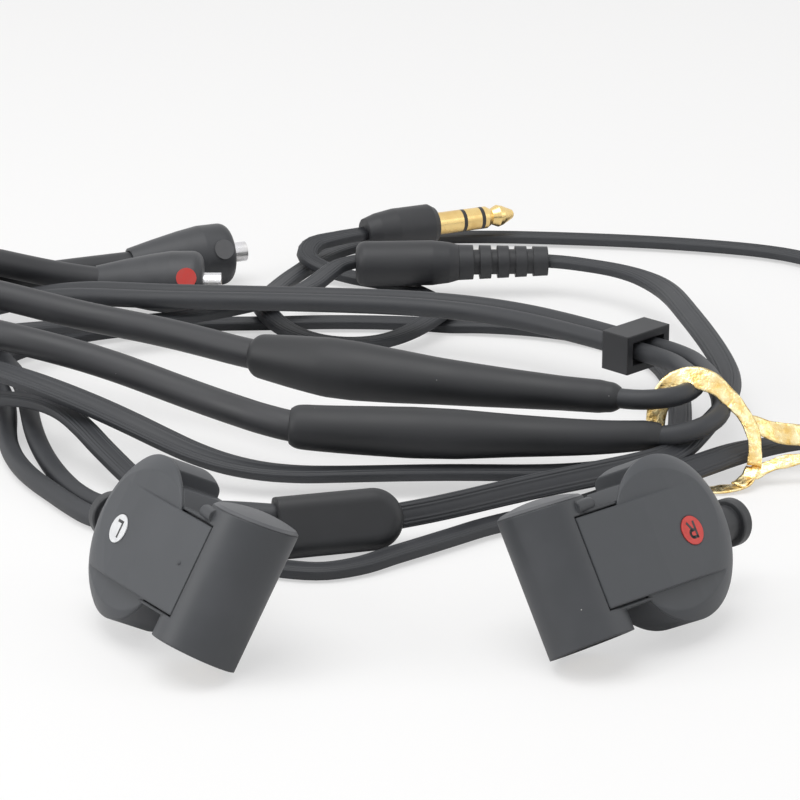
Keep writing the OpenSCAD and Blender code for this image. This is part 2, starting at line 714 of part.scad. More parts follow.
module collar_insulator() {
    translate([0, 0, recess - collar_len]) difference() {
        cylinder(r = collar_r - 0.42, h = collar_len - recess + insulator_len);
        translate([0, 0, -1]) cylinder(r = contact_r + 0.02, h = collar_len + 4);
    }
}

module collar_pin() {
    translate([0, 0, recess / 2 - collar_len]) cylinder(r = contact_r, h = collar_len + 1.5, $fn = 24);
}

module left_connector_boot() { color([0.2, 0.2, 0.21]) at_left_boot() boot_with_bore(); }
module right_connector_boot() { color([0.2, 0.2, 0.21]) at_right_boot() boot_with_bore(); }
module left_connector_collar() { color([0.75, 0.75, 0.77]) at_left_boot() collar(); }
module right_connector_collar() { color([0.75, 0.75, 0.77]) at_right_boot() collar(); }
module left_connector_insulator() { color([0.9, 0.9, 0.88]) at_left_boot() collar_insulator(); }
module right_connector_insulator() { color([0.9, 0.9, 0.88]) at_right_boot() collar_insulator(); }
module left_connector_pin() { color([0.85, 0.7, 0.3]) at_left_boot() collar_pin(); }
module right_connector_pin() { color([0.85, 0.7, 0.3]) at_right_boot() collar_pin(); }

module connector_marks() {
    color([0.8, 0.1, 0.1]) at_right_boot() mark_dot();
    color([0.7, 0.7, 0.72]) at_left_boot() mark_dot();
}

module mark_dot() {
    rotate(mark_dot_turn) translate([0, 0.3 - boot_d / 2, mark_dot_at]) rotate([90, 0, 0])
        cylinder(r = mark_dot_r, h = mark_dot_t, $fn = 32);
}

module at_joint() { translate(joint_at) rotate([0, -90, 3]) children(); }

module joint_relief() {
    gap = relief_len / (relief_ribs + 1);
    color([0.12, 0.12, 0.13]) at_joint() difference() {
        cylinder(r1 = 2.2, r2 = 2.7, h = relief_len);
        for (i = [1 : relief_ribs]) translate([0, 0, i * gap - 0.5]) difference() {
            cylinder(r = 4, h = 1);
            translate([0, 0, -1]) cylinder(r = relief_core_r, h = 3);
        }
    }
}

module joint_body() {
    outline = concat([[0, 0.02], [joint_r - 0.7, 0.02], [joint_r - 0.3, 1.5], [joint_r, 4]],
        arc(joint_r - joint_edge_r, joint_len - joint_edge_r, joint_edge_r, 0, 90, 6), [[0, joint_len]]);
    color([0.14, 0.14, 0.15]) at_joint() translate([0, 0, relief_len]) rotate_extrude() polygon(outline);
}

module at_plug() { translate(plug_at) rotate(plug_turn) children(); }

module plug_body() {
    r = plug_d / 2;
    outline = [[0, 0], [r - 1, 0], [r - 0.4, 2], [r, 5], [r, plug_len - 1], [r - 0.6, plug_len],
        [0, plug_len]];
    color([0.13, 0.13, 0.14]) at_plug() rotate_extrude() polygon(outline);
}

// The pin's contacts: sleeve, ring and tip, with an insulator before the ring and the tip
pin_r = pin_d / 2;
insulator_t = 0.6;
sleeve_len = 4.6;
ring_len = 2.6;
tip_start = sleeve_len + ring_len + 2 * insulator_t;
tip_len = pin_len - tip_start;

module plug_sleeve() {
    color([0.83, 0.68, 0.3]) at_plug() translate([0, 0, plug_len + 0.01])
        cylinder(r = pin_r, h = sleeve_len - 0.02);
}

module plug_ring() {
    color([0.83, 0.68, 0.3]) at_plug() translate([0, 0, plug_len + sleeve_len + insulator_t])
        cylinder(r = pin_r, h = ring_len - 0.02);
}

module plug_insulators() {
    color([0.1, 0.1, 0.1]) at_plug() for (z = [sleeve_len, sleeve_len + insulator_t + ring_len])
        translate([0, 0, plug_len + z]) cylinder(r = pin_r, h = insulator_t - 0.02);
}

module plug_tip() {
    outline = [[0, 0], [pin_r, 0], [pin_r, 0.7], [pin_r - 0.5, 1.6], [pin_r, 2.8], [pin_r - 0.2, 3.6],
        [0.7, tip_len - 0.2], [0.4, tip_len], [0, tip_len]];
    color([0.83, 0.68, 0.3]) at_plug() translate([0, 0, plug_len + tip_start])
        rotate_extrude() polygon(outline);
}

left_side() rear_housing();  // left_rear_housing
left_side() front_cover();  // left_front_cover
left_side() barrel_cap();  // left_barrel_cap
left_side() nozzle();  // left_nozzle
left_side() nozzle_screen();  // left_nozzle_screen
left_side() driver_frame();  // left_driver_frame
left_side() driver_gasket();  // left_driver_gasket
left_side() magnet();  // left_magnet
left_side() yoke();  // left_yoke
left_side() voice_coil();  // left_voice_coil
left_side() diaphragm();  // left_diaphragm
left_side() terminal_board();  // left_terminal_board
left_side() socket_shell();  // left_socket_shell
left_side() socket_insulator();  // left_socket_insulator
left_side() socket_contact();  // left_socket_contact
left_side() side_mark([0.9, 0.9, 0.9]);  // left_side_mark
right_side() rear_housing();  // right_rear_housing
right_side() front_cover();  // right_front_cover
right_side() barrel_cap();  // right_barrel_cap
right_side() nozzle();  // right_nozzle
right_side() nozzle_screen();  // right_nozzle_screen
right_side() driver_frame();  // right_driver_frame
right_side() driver_gasket();  // right_driver_gasket
right_side() magnet();  // right_magnet
right_side() yoke();  // right_yoke
right_side() voice_coil();  // right_voice_coil
right_side() diaphragm();  // right_diaphragm
right_side() terminal_board();  // right_terminal_board
right_side() socket_shell();  // right_socket_shell
right_side() socket_insulator();  // right_socket_insulator
right_side() socket_contact();  // right_socket_contact
right_side() side_mark([0.85, 0.15, 0.12]);  // right_side_mark
main_cord();
cord_hank();
left_branch_cord();
right_branch_cord();
splitter_lower_shell();
splitter_upper_shell();
cord_slider();
twist_tie();
left_hanger();
right_hanger();
left_hanger_sleeve();
right_hanger_sleeve();
left_connector_boot();
right_connector_boot();
left_connector_collar();
right_connector_collar();
left_connector_insulator();
right_connector_insulator();
left_connector_pin();
right_connector_pin();
connector_marks();
joint_body();
joint_relief();
plug_body();
plug_tip();
plug_ring();
plug_sleeve();
plug_insulators();
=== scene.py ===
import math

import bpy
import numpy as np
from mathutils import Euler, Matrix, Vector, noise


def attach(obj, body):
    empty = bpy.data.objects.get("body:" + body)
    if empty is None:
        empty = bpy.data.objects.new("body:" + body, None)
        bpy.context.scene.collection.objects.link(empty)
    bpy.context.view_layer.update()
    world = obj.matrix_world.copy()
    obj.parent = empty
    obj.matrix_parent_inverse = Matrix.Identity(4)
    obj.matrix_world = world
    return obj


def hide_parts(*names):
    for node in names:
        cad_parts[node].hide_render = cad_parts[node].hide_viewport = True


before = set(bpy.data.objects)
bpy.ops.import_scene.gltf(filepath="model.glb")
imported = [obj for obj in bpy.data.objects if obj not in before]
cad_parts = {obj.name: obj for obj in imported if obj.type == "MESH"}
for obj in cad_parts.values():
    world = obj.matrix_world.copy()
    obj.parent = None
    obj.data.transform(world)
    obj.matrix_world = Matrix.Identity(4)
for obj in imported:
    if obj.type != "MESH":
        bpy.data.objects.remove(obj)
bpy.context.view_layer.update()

# %% [markdown]
# Wired earphones, step by step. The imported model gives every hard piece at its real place, in metres:
# two earpieces with their drums, straps and barrels, and the cord with its sleeves, splitter, slider,
# joint and plug. This lesson adds the camera, the light, the cords as smooth lines, the crumpled gold
# tie, small moulded details, and a finish for every piece.

MM = 0.001
scene = bpy.context.scene


def in_metres(points):
    """Points chosen in millimetres, as an array in metres."""
    return np.array(points, float) * MM


def new_piece(name, points, faces, smooth=0):
    """A piece made of points in metres and faces, of which the first few are shaded smooth."""
    mesh = bpy.data.meshes.new(name)
    mesh.from_pydata([tuple(p) for p in points], [], faces)
    if smooth:
        mesh.polygons.foreach_set("use_smooth", [i < smooth for i in range(len(faces))])
    piece = bpy.data.objects.new(name, mesh)
    scene.collection.objects.link(piece)
    return piece


def tube_faces(around, along):
    """Four-cornered faces between rings: points around each ring, and rings along the tube."""
    return [(i * around + k, i * around + (k + 1) % around, (i + 1) * around + (k + 1) % around,
             (i + 1) * around + k) for i in range(along - 1) for k in range(around)]


print("parts in the frame:", len(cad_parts))

# %% [markdown]
# The camera stands low in front, about a third of a metre away, and looks a little down on the set.
# A long lens keeps the small pieces in proportion. It is made first, because the cords are checked
# against what it sees.

# %% Camera
CAMERA_AT = Vector((-2.3, -344.98, 148.13)) * MM
CAMERA_AIM = Vector((-2.3, -5.0, 29.76)) * MM
VIEW_ANGLE = math.radians(13.97)

camera_data = bpy.data.cameras.new("camera")
camera_data.sensor_fit = "HORIZONTAL"
camera_data.angle = VIEW_ANGLE
camera_data.clip_start = 0.01
camera_data.clip_end = 20.0
camera = bpy.data.objects.new("camera", camera_data)
camera.location = CAMERA_AT
camera.rotation_euler = (CAMERA_AIM - CAMERA_AT).to_track_quat("-Z", "Y").to_euler()
scene.collection.objects.link(camera)
scene.camera = camera
print("camera distance:", round((CAMERA_AIM - CAMERA_AT).length, 3), "m")

# %% [markdown]
# Every cord here is a long smooth line. A few points are listed along its way, a curve is run
# through them, and the curve is cut into short even steps. Catmull-Rom is used because it passes
# through each chosen point, so a cord goes exactly where it has to.

# %% A smooth line through chosen points
STEP = 1.2 * MM


def smooth_line(points, step=STEP):
    """A curve through the points, cut into even steps. Points may carry more than three numbers."""
    p = np.array(points, float)
    p = np.vstack([2 * p[0] - p[1], p, 2 * p[-1] - p[-2]])
    knots = np.concatenate([[0], np.cumsum(np.linalg.norm(np.diff(p[:, :3], axis=0), axis=1) ** 0.5)])
    fine = []
    for i in range(1, len(p) - 2):
        t0, t1, t2, t3 = knots[i - 1:i + 3]
        t = np.linspace(t1, t2, 24, endpoint=False)[:, None]
        a1 = (t1 - t) / (t1 - t0) * p[i - 1] + (t - t0) / (t1 - t0) * p[i]
        a2 = (t2 - t) / (t2 - t1) * p[i] + (t - t1) / (t2 - t1) * p[i + 1]
        a3 = (t3 - t) / (t3 - t2) * p[i + 1] + (t - t2) / (t3 - t2) * p[i + 2]
        b1 = (t2 - t) / (t2 - t0) * a1 + (t - t0) / (t2 - t0) * a2
        b2 = (t3 - t) / (t3 - t1) * a2 + (t - t1) / (t3 - t1) * a3
        fine.append((t2 - t) / (t2 - t1) * b1 + (t - t1) / (t2 - t1) * b2)
    fine = np.vstack(fine + [p[-2][None]])
    return even_steps(fine, step)


def even_steps(line, step):
    """The same line with its points a step apart."""
    far = np.concatenate([[0], np.cumsum(np.linalg.norm(np.diff(line[:, :3], axis=0), axis=1))])
    wanted = np.linspace(0, far[-1], max(2, int(round(far[-1] / step)) + 1))
    return np.stack([np.interp(wanted, far, line[:, k]) for k in range(line.shape[1])], axis=1)


def length_of(line):
    return float(np.linalg.norm(np.diff(line[:, :3], axis=0), axis=1).sum())


# %% [markdown]
# The main cord is one flat ribbed band, 3.2 mm wide. It leaves the round end of the splitter, passes
# through the tie, runs back to the in-line joint, is wound once round the bundle, comes past the front
# again, swings round the right and lies along the back to its plug. The points are the ones that the
# solid model's cord takes, with more between them. The fourth number rolls the band about its length.

# %% Route of the main cord
main_route = [
    (-3, 26, 3.9, 65), (3.4, 29, 4, 65), (11.2, 33.8, 4.2, 62), (20, 37.4, 4.8, 58), (27, 39.4, 5.4, 50),
    (31.5, 43, 5.2, 35), (34.5, 47.5, 5.2, 15), (37, 52.5, 5.8, -10), (39.4, 57, 6.6, -25),
    (41.6, 62, 7, -30), (42, 68, 7.4, -30), (40.6, 82, 7.6, -30), (38.6, 98, 7, -30), (36.4, 113, 6.2, -20),
    (31, 123.6, 5.6, 0),
    (20, 129, 5.4, 0), (10, 129.5, 5.4, 0), (0, 129.4, 5.4, 0), (-9, 129, 5.4, 0), (-13.4, 125.6, 4.6, 0),
    (-15.5, 118, 4.4, 0), (-21, 109, 5.4, 0), (-34, 103.5, 4.4, 0), (-50, 98, 5, 0), (-60, 88, 7.2, 0),
    (-63, 76, 9.6, 0), (-59.5, 64.5, 11, 0), (-50.4, 57.1, 10.8, 20), (-41.2, 54.3, 8, 30),
    (-34.5, 50.7, 6, 30), (-27.8, 46.5, 4, 20), (-20, 43.4, 3, 10), (-8.6, 43.3, 3, 0), (4.1, 44, 3, 0),
    (18, 43.6, 3, 0), (26, 45.6, 3, 0), (31.6, 50, 3, 0), (34, 57, 2.2, 0), (35.5, 70, 1.4, 0),
    (36, 84, 1.2, 0), (33, 97, 1.2, 0), (23, 106.5, 1.2, 0), (8, 110.5, 1.2, 0), (-12, 112, 1.2, 0),
    (-34, 110.5, 1.2, 0),
    (-50, 104.5, 1.4, 0), (-60.5, 93, 1.4, 0), (-63, 80, 2, 0), (-58, 68.5, 4.4, 0), (-50.5, 62.6, 6.4, 0),
    (-45.4, 57.2, 6.6, 0), (-41.4, 50, 4.8, 0), (-37.6, 45, 3, 0), (-33, 38, 1.6, 0), (-29, 29.4, 1, 0),
    (-24, 20.5, 1, 0), (-16, 15.5, 1, 0), (-8.3, 16.7, 1, 0), (-2.3, 20.9, 1.2, 0), (3.8, 25.8, 1.2, 0),
    (9.4, 31, 1.2, 0), (20, 35, 1.5, 10), (27, 38.6, 2.6, 30), (33.5, 42.6, 3.6, 45), (38.2, 46.4, 3.8, 45),
    (41.7, 51.3, 3.2, 30), (46, 54.6, 2.8, 10), (50.2, 57, 2.4, 0), (58, 63, 1.4, 0), (66.5, 73, 1.2, 0),
    (72, 88, 1.2, 0), (74, 105, 1.2, 0), (73, 118, 1.2, 0), (70, 130, 1.2, 0), (60.6, 145.5, 1.2, 0),
    (45, 151.7, 1.2, 0), (24, 155.4, 1.2, 0), (6, 156.4, 1.2, 0), (-6, 154, 1.2, 0), (-13, 148, 1.2, 0),
    (-18, 137, 1.2, 0), (-22, 124, 1.4, 0), (-22.5, 111, 3.2, 0), (-16, 101.5, 1.6, 0), (-4, 100.5, 1.6, 0),
    (3.6, 110, 3.2, 0), (3.4, 121, 1.2, 0), (-2, 130, 1, 0), (-10, 134, 1.4, 0), (-16.2, 136.6, 2.6, 0),
    (-18.4, 140.4, 3.8, 0), (-14.6, 142.4, 4.6, 0), (-7.8, 145.3, 5, 0)]
main_line = smooth_line([(x * MM, y * MM, z * MM, roll) for x, y, z, roll in main_route])
print("main cord:", round(length_of(main_line), 3), "m")

# %% [markdown]
# Two thin round cords leave the flat end of the splitter, loop round on the left, come back along the
# far side through the slider, turn over in the tie, and end in the two tapered sleeves. From there the
# stiffer ear hangers swing out to the left and back to their connectors.

# %% Routes of the branch cords and the ear hangers
left_branch_route = [
    (-16.4, 21.7, 2.5), (-21, 21.3, 3.1), (-26, 23.2, 3.3), (-33, 26.4, 2.2), (-40.2, 31.4, 1.3),
    (-45.1, 39.6, 1.3), (-49.5, 46, 1.3), (-52.5, 53, 1.3), (-54.4, 60.7, 1.3), (-55, 69.7, 1.4),
    (-56.4, 78.1, 1.6), (-60, 87, 2), (-65.6, 96, 2.4), (-68.6, 104.5, 2.8), (-66.6, 111.6, 3.4),
    (-60, 113.2, 4), (-50, 111.5, 6.4), (-38, 106.5, 7.4), (-18, 103.2, 8), (3, 100.6, 8),
    (15, 95.6, 8), (25.4, 86.8, 8), (31.1, 81.1, 8), (36.8, 75.4, 8), (38.6, 69, 8.4), (39.2, 62, 8.8),
    (39.6, 56, 8.9), (39.8, 51.8, 8.4), (38.6, 48.2, 7.9), (35.4, 46.1, 7.4), (31, 46.2, 7.2),
    (25, 45.4, 7.2)]
right_branch_route = [
    (-16.5, 23, 5.3), (-22, 24.4, 5.2), (-27.4, 27.2, 4.4), (-34.5, 31.4, 2.4), (-40.5, 36, 1.3),
    (-45.5, 45.4, 1.3), (-48.6, 53.6, 1.6), (-51, 62, 2.2), (-52.4, 70.3, 3), (-54, 78.6, 3.4),
    (-57.6, 87, 3.6), (-62.4, 95, 3.8), (-65, 102, 4), (-63.6, 108.2, 4.4), (-58.6, 110, 5),
    (-50.5, 108.2, 6.4), (-39, 103.2, 7.4), (-18.6, 100, 8), (2, 97.4, 8), (13, 92.8, 8),
    (23.2, 84.5, 8), (28.9, 78.9, 8), (34.6, 73.2, 8), (35.9, 67, 8.6), (36.5, 61, 9.8), (36.7, 56, 10.7),
    (35.6, 52, 10.9), (33, 49.8, 10.9), (29.4, 49.8, 10.7), (26, 51, 10.5), (22, 52, 10.6)]
left_hanger_route = [
    (-40.5, 129.9, 4.9), (-50, 125.9, 4.9), (-61, 119, 5.4), (-69.5, 110, 6.4), (-74, 98, 8.6),
    (-73, 85, 11.4), (-65.5, 73.5, 13.8), (-55.3, 66.5, 14), (-42, 62.5, 11.8), (-28.3, 55.4, 9),
    (-16.3, 47.4, 8), (-8, 46.8, 7.7)]
right_hanger_route = [
    (-44.5, 119.6, 4.9), (-55, 117.5, 7), (-64, 113.6, 10.6), (-72, 106, 12.8), (-75, 95.5, 14.6),
    (-68.5, 86, 15.6), (-58.5, 82.4, 15), (-46, 78.2, 13), (-34, 74, 12), (-21.6, 67.1, 11), (-13, 62.8, 11)]
left_branch_line = smooth_line(in_metres(left_branch_route))
right_branch_line = smooth_line(in_metres(right_branch_route))
left_hanger_line = smooth_line(in_metres(left_hanger_route))
right_hanger_line = smooth_line(in_metres(right_hanger_route))
for name, line in (("left branch", left_branch_line), ("right branch", right_branch_line),
                   ("left hanger", left_hanger_line), ("right hanger", right_hanger_line)):
    print(name + ":", round(length_of(line), 3), "m")

# %% [markdown]
# The listed points never clear each other exactly, so the cords are then let go for a moment. Each
# line is a chain of points: where two chains are closer than their thickness they push each other
# away, nothing goes below the table, and every step keeps its length. The ends and the places where a
# cord is held, in the splitter, slider, joint and sleeves, stay where they are.

# %% Let the cords make room for each other
SETTLE_STEP = 2.4 * MM
SETTLE_ROUNDS = 90
STIFFNESS = 0.12
PULL_HOME = 0.02
LENGTH_FIX = 0.25
NEIGHBOURS = 5
FLOOR_SHARE = np.array([0.76, 1, 1, 1, 1])
BAND_HALF = 1.25 * MM
BRANCH_R = 1.3 * MM
HANGER_R = 2.0 * MM
held_places = [((-9.6, 24.2, 3.9), 10.0), ((30, 80, 8), 8.0), ((28.5, 47.5, 9), 5.0), ((23, 51, 10), 6.0),
               ((5, 129, 5.4), 18.0), ((-7.8, 145.3, 5.0), 3.0), ((-40.5, 130, 4.9), 6.0),
               ((-44.5, 119.6, 4.9), 6.0), ((-12, 47, 7.8), 7.0), ((-17, 65, 11), 7.0)]



def settle(lines, radii):
    """The lines with their overlaps pushed out, in the same order."""
    coarse = [even_steps(line[:, :3], SETTLE_STEP) for line in lines]
    starts = np.cumsum([0] + [len(c) for c in coarse])
    place = np.vstack(coarse)
    home = place.copy()
    owner = np.repeat(np.arange(len(coarse)), [len(c) for c in coarse])
    order = np.arange(len(place))
    radius = np.array(radii)[owner]
    loose = np.ones(len(place))
    for centre, reach in held_places:
        loose[np.linalg.norm(home - in_metres(centre), axis=1) < reach * MM] = 0
    loose[starts[:-1]] = 0
    loose[starts[1:] - 1] = 0
    apart = radius[:, None] + radius[None]
    near_self = (owner[:, None] == owner[None]) & (np.abs(order[:, None] - order[None]) < NEIGHBOURS)
    inner = np.array([i for i in range(1, len(place) - 1) if owner[i - 1] == owner[i + 1]])
    joined = np.array([i for i in range(len(place) - 1) if owner[i] == owner[i + 1]])
    for _ in range(SETTLE_ROUNDS):
        gap = place[:, None] - place[None]
        far = np.linalg.norm(gap, axis=2) + 1e-9
        short = np.clip(apart - far, 0, None)
        short[near_self] = 0
        push = (gap / far[:, :, None] * short[:, :, None] * 0.5).sum(axis=1)
        room = np.maximum(1, (short > 0).sum(axis=1))[:, None]
        place += push / room ** 0.5 * loose[:, None]
        bend = (place[inner - 1] + place[inner + 1]) / 2 - place[inner]
        place[inner] += STIFFNESS * bend * loose[inner, None]
        place += PULL_HOME * (home - place) * loose[:, None]
        side = place[joined + 1] - place[joined]
        long = np.linalg.norm(side, axis=1)[:, None]
        fix = side * (1 - SETTLE_STEP / long) * LENGTH_FIX
        place[joined] += fix * loose[joined, None]
        place[joined + 1] -= fix * loose[joined + 1, None]
        place[:, 2] = np.maximum(place[:, 2], radius * FLOOR_SHARE[owner])
    moved = np.linalg.norm(place - home, axis=1)
    print("cords moved at most", round(float(moved.max()) / MM, 2), "mm; closest gap short by",
          round(float(short.max()) / MM, 2), "mm")
    return [smooth_line(place[a:b][::2] if (b - a) % 2 else np.vstack([place[a:b][::2], place[b - 1:b]]))
            for a, b in zip(starts[:-1], starts[1:])]


settled = settle([main_line, left_branch_line, right_branch_line, left_hanger_line, right_hanger_line],
                 [BAND_HALF, BRANCH_R, BRANCH_R, HANGER_R, HANGER_R])
main_settled, left_branch_settled, right_branch_settled, left_hanger_settled, right_hanger_settled = settled

# %% [markdown]
# A cord's skin is a ring of points carried along its line. The rings keep their sideways direction
# level with the table where they can, so that a flat band lies flat, and the fourth number of the
# main route turns the band about its own length where it stands on edge.

# %% Rings along a line
LEVEL_PULL = 0.3


def smoothed(values, rounds):
    """A list of numbers or directions with each step pulled towards its neighbours."""
    values = values.copy()
    for _ in range(rounds):
        values[1:-1] = (values[:-2] + 2 * values[1:-1] + values[2:]) / 4
    return values


def unit_rows(v):
    return v / np.maximum(np.linalg.norm(v, axis=1), 1e-12)[:, None]


def frames_along(line, roll=None):
    """Sideways and upward directions at each point of a line."""
    ahead = unit_rows(np.gradient(line[:, :3], axis=0))
    side = [np.cross((0, 0, 1), ahead[0])]
    for i in range(1, len(ahead)):
        carried = side[-1] - ahead[i] * np.dot(side[-1], ahead[i])
        carried /= np.linalg.norm(carried)
        level = np.cross((0, 0, 1), ahead[i])
        flat = np.linalg.norm(level)
        level = level / max(flat, 1e-9) * (1 if np.dot(level, carried) >= 0 else -1)
        mixed = carried * (1 - LEVEL_PULL * flat) + level * LEVEL_PULL * flat
        side.append(mixed / np.linalg.norm(mixed))
    side = smoothed(np.array(side), 8)
    side = unit_rows(side - ahead * (side * ahead).sum(axis=1)[:, None])
    up = np.cross(ahead, side)
    if roll is not None:
        c, s = np.cos(np.radians(roll))[:, None], np.sin(np.radians(roll))[:, None]
        side, up = side * c + up * s, up * c - side * s
    return side, up


def skin(name, line, outline, scale=None, roll=None):
    """A closed tube mesh: the outline, a list of (sideways, up) points in metres, carried along the line."""
    side, up = frames_along(line, roll)
    outline = np.array(outline, float)
    scale = np.ones(len(line)) if scale is None else np.asarray(scale, float)
    rings = (line[:, None, :3] + side[:, None] * outline[None, :, :1] * scale[:, None, None]
             + up[:, None] * outline[None, :, 1:] * scale[:, None, None])
    n, m = len(outline), len(line)
    faces = tube_faces(n, m)
    ends = [tuple(range(n - 1, -1, -1)), tuple((m - 1) * n + k for k in range(n))]
    return new_piece(name, rings.reshape(-1, 3), faces + ends, smooth=len(faces))


def circle(radius, count=20):
    turn = np.linspace(0, 2 * math.pi, count, endpoint=False)
    return np.stack([np.cos(turn), np.sin(turn)], axis=1) * radius


# %% [markdown]
# The main cord's band has rounded edges and fine grooves that run along both broad faces. The grooves
# are cut into the outline itself, so that they catch the light along the whole cord and stay sharp
# when the camera comes near.

# %% The ribbed main cord
MAIN_WIDTH = 3.2 * MM
MAIN_THICK = 1.6 * MM
GROOVES = 7
GROOVE_DEPTH = 0.14 * MM


def band_outline(count=104):
    turn = np.linspace(0, 2 * math.pi, count, endpoint=False)
    across = np.sign(np.cos(turn)) * np.abs(np.cos(turn)) ** 0.55 * MAIN_WIDTH / 2
    high = np.sign(np.sin(turn)) * np.abs(np.sin(turn)) ** 0.55 * MAIN_THICK / 2
    groove = np.clip(np.cos(across / MAIN_WIDTH * GROOVES * 2 * math.pi) - 0.2, 0, 1) / 0.8
    face = np.clip(np.abs(high) / (MAIN_THICK / 2) * 4 - 2.6, 0, 1)
    high -= np.sign(high) * groove * face * GROOVE_DEPTH
    return np.stack([across, high], axis=1)


def roll_along(line, raw):
    """The hand-set roll at each point of the settled line, by the share of its length."""
    share = np.linspace(0, 1, len(raw))
    return smoothed(np.interp(np.linspace(0, 1, len(line)), share, raw[:, 3]), 12)


main_cord = skin("main_cord_band", main_settled, band_outline(),
                 roll=roll_along(main_settled, main_line))
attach(main_cord, "cable")
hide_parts("main_cord", "cord_hank")
print("main cord faces:", len(main_cord.data.polygons))

# %% [markdown]
# The branch cords and the ear hangers are plain round tubes, the hangers half as thick again.

# %% The two branch cords and the ear hangers
left_branch = skin("left_branch", left_branch_settled, circle(BRANCH_R))
right_branch = skin("right_branch", right_branch_settled, circle(BRANCH_R))
left_hanger = skin("left_ear_hanger", left_hanger_settled, circle(HANGER_R, 28))
right_hanger = skin("right_ear_hanger", right_hanger_settled, circle(HANGER_R, 28))
for piece, node in ((left_branch, "left_branch_cord"), (right_branch, "right_branch_cord"),
                    (left_hanger, "left_hanger"), (right_hanger, "right_hanger")):
    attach(piece, "cable")
    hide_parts(node)
    print(node + ":", len(piece.data.polygons), "faces")

# %% [markdown]
# Each sleeve is one soft moulding: a short straight cuff on the ear hanger, a belly, and a long taper
# down to a small bead on the thin cord. A single outline that grows and shrinks along the line gives
# all three.

# %% The tapered sleeves
left_sleeve_route = [(-16.3, 47.4, 8), (-12, 47, 7.8), (-2.3, 46.5, 7.5), (10.4, 45.8, 7.3),
                     (23.1, 45.4, 7.2), (31, 46.4, 7.2)]
right_sleeve_route = [(-21.6, 67.1, 11), (-11.1, 61.7, 11), (2.5, 57, 10.8), (17.2, 53.1, 10.6),
                      (26, 51.1, 10.5)]
left_sleeve_shape = [(0, 2.3), (0.01, 2.75), (0.035, 2.9), (0.2, 3.15), (0.33, 3.3), (0.45, 3.2),
                     (0.6, 2.75), (0.75, 2.4), (0.9, 2.05), (0.965, 1.9), (0.97, 1.75), (0.99, 1.7), (1, 1.4)]
right_sleeve_shape = [(0, 2.3), (0.01, 2.9), (0.035, 3.05), (0.12, 3.5), (0.22, 3.95), (0.3, 3.9),
                      (0.42, 3.5), (0.52, 3.1), (0.7, 2.6), (0.85, 2.25), (0.955, 2.15), (0.96, 2),
                      (0.985, 1.95), (1, 1.4)]


def sleeve(name, route, shape):
    line = smooth_line(in_metres(route), 0.35 * MM)
    share = np.linspace(0, 1, len(line))
    size = np.interp(share, *np.array(shape).T) * MM
    return skin(name, line, circle(1.0, 40), scale=smoothed(size, 2))


left_sleeve = sleeve("left_sleeve", left_sleeve_route, left_sleeve_shape)
right_sleeve = sleeve("right_sleeve", right_sleeve_route, right_sleeve_shape)
for piece, node in ((left_sleeve, "left_hanger_sleeve"), (right_sleeve, "right_hanger_sleeve")):
    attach(piece, "cable")
    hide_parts(node)
    print(node + ":", len(piece.data.polygons), "faces")

# %% [markdown]
# The main cord ends in the plug, with the in-line joint on its way. Each branch cord ends in its sleeve,
# and each ear hanger runs from its sleeve to the connector that unplugs from the earpiece.

# %% [markdown]
# The gold tie is a thin foil strip round a wire. It goes over the bundle and round it, its two ends
# are twisted together at the right, and they stick out crumpled. A thin flat strip carried along a
# line gives each part; the fourth number of its route rolls the strip about its length.

# %% The gold foil tie
TIE_THICK = 0.22
ring_route = [
    (42.9, 47.5, 2.3, 0), (41.6, 45.4, 0.9, 0), (38.4, 44.3, 0.5, 0), (35, 44.8, 0.5, 0),
    (32.6, 46.4, 1.2, 0), (31, 49, 3.6, 10), (30.6, 51, 6.6, 25), (31.2, 52.3, 9.6, 40), (33, 53, 11.7, 50),
    (35.5, 53.3, 12.6, 50), (38.3, 52.9, 11.6, 50), (40.7, 52, 9.6, 40), (42.4, 51, 7.5, 25),
    (43.1, 49.8, 6, 10), (43.3, 48.6, 4, 0), (43.1, 47.7, 2.5, 0)]
upper_tail_route = [(42, 51, 7.5, 30), (43.6, 51.4, 6.7, 50), (45.4, 51.7, 5.9, 60), (47.4, 52, 5.3, 65),
                    (49.6, 52.3, 5, 60), (52.8, 52.9, 4.7, 60)]
lower_tail_route = [(40.8, 44.6, 0.9, 0), (42.8, 46.8, 1.7, 10), (43.8, 47.5, 1.9, 30), (46.5, 48, 2.8, 40),
                    (49, 48.2, 3.2, 35), (53.2, 48.6, 3.5, 40)]


def foil_strip(name, route, width, seed, creased=0.5):
    """A crumpled strip: its width and its surface wander a little along its length."""
    line = smooth_line([(x * MM, y * MM, z * MM, roll) for x, y, z, roll in route], 0.4 * MM)
    side, up = frames_along(line, line[:, 3])
    across = np.linspace(-0.5, 0.5, 9)
    wide = np.interp(np.linspace(0, 1, len(line)), *np.array(width).T) * MM
    points = []
    for i, p in enumerate(line):
        for c in across:
            spot = Vector(p[:3] / MM * 0.55) + Vector((seed, c * 1.5, 0))
            crumple = noise.fractal(spot, 1.0, 2.0, 4) * 0.5 + 0.35 * math.sin(i * 0.55 + c * 3 + seed)
            edge = abs(c) * 2
            lift = (crumple * (0.25 + 0.45 * edge)) * creased * MM
            points.append(p[:3] + side[i] * (c + 0.04 * crumple * edge) * wide[i] + up[i] * lift)
    n = len(across)
    faces = [(i * n + k, i * n + k + 1, (i + 1) * n + k + 1, (i + 1) * n + k)
             for i in range(len(line) - 1) for k in range(n - 1)]
    piece = new_piece(name, points, faces, smooth=len(faces))
    thick = piece.modifiers.new("foil", "SOLIDIFY")
    thick.thickness = TIE_THICK * MM
    thick.offset = 0
    return piece


